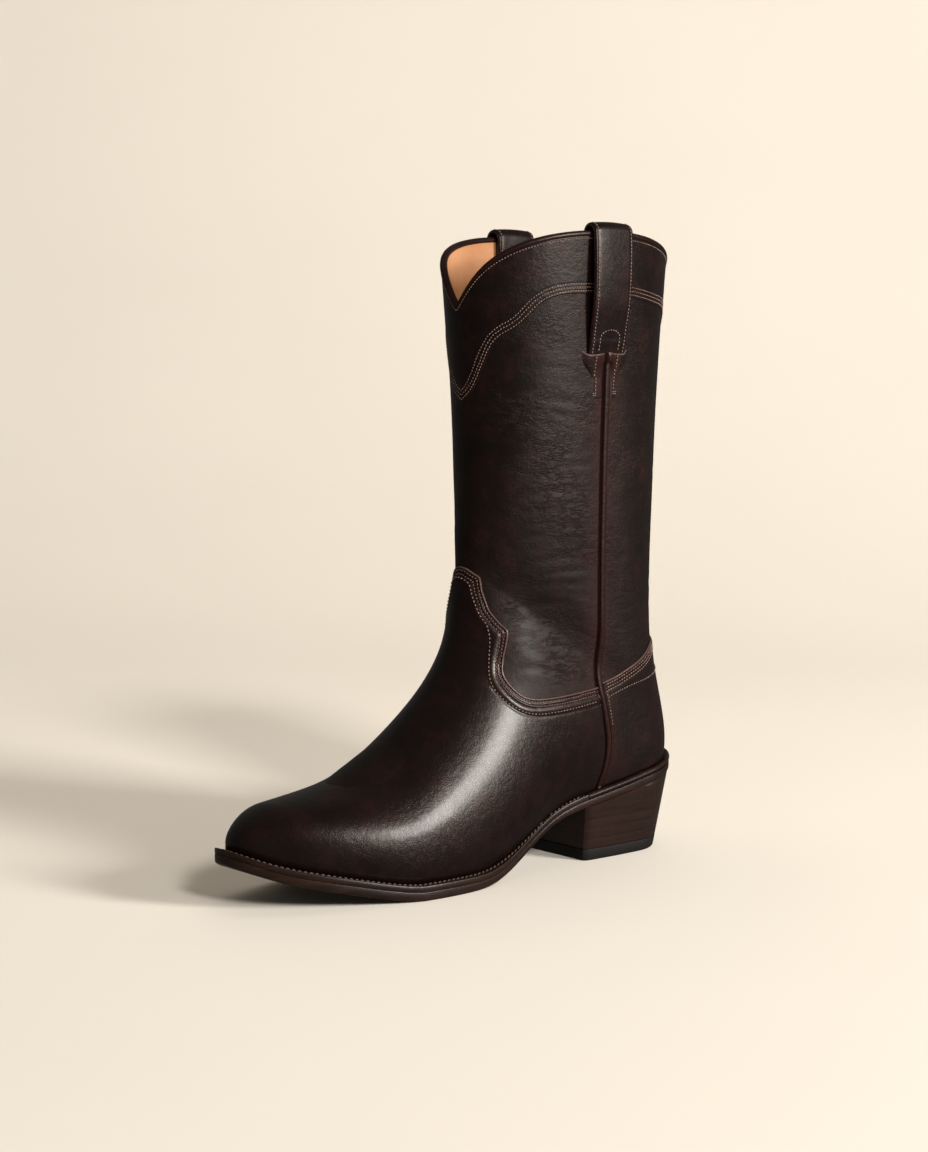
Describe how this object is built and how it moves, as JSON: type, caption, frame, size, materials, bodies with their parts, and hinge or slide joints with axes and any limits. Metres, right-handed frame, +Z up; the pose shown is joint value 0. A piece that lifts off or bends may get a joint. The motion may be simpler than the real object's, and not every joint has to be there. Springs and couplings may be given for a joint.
{
  "type": "western boot",
  "caption": "Left pull-on western boot with tall straight shaft, scalloped collar, pull straps, side seams, welted leather sole and stacked heel.",
  "frame": {"origin": "on the floor, under the middle of the boot's bounding box", "axes": "+Z up; -Y towards the toe; +X towards the boot's outer (left) side"},
  "size_m": [0.0984, 0.3134, 0.3679],
  "materials": {
    "upper_leather": "polished dark brown smooth leather",
    "lining_leather": "natural tan lining leather",
    "edge_leather": "burnished dark brown sole leather",
    "cork": "cork filler",
    "rubber": "matt black rubber"
  },
  "bodies": {
    "root": {"upper": "upper_leather", "vamp": "upper_leather", "counter": "upper_leather", "collar_yoke": "upper_leather", "rim_binding": "upper_leather", "side_piping_outer": "upper_leather", "side_piping_inner": "upper_leather", "pull_strap_outer": "upper_leather", "pull_strap_inner": "upper_leather", "insole": "lining_leather", "filler": "cork", "welt": "edge_leather", "heel_rand": "edge_leather", "outsole": "edge_leather", "heel_top_lift": "rubber", "heel_lift_1": "edge_leather", "heel_lift_2": "edge_leather", "heel_lift_3": "edge_leather", "heel_base": "edge_leather"}
  },
  "joints": []
}
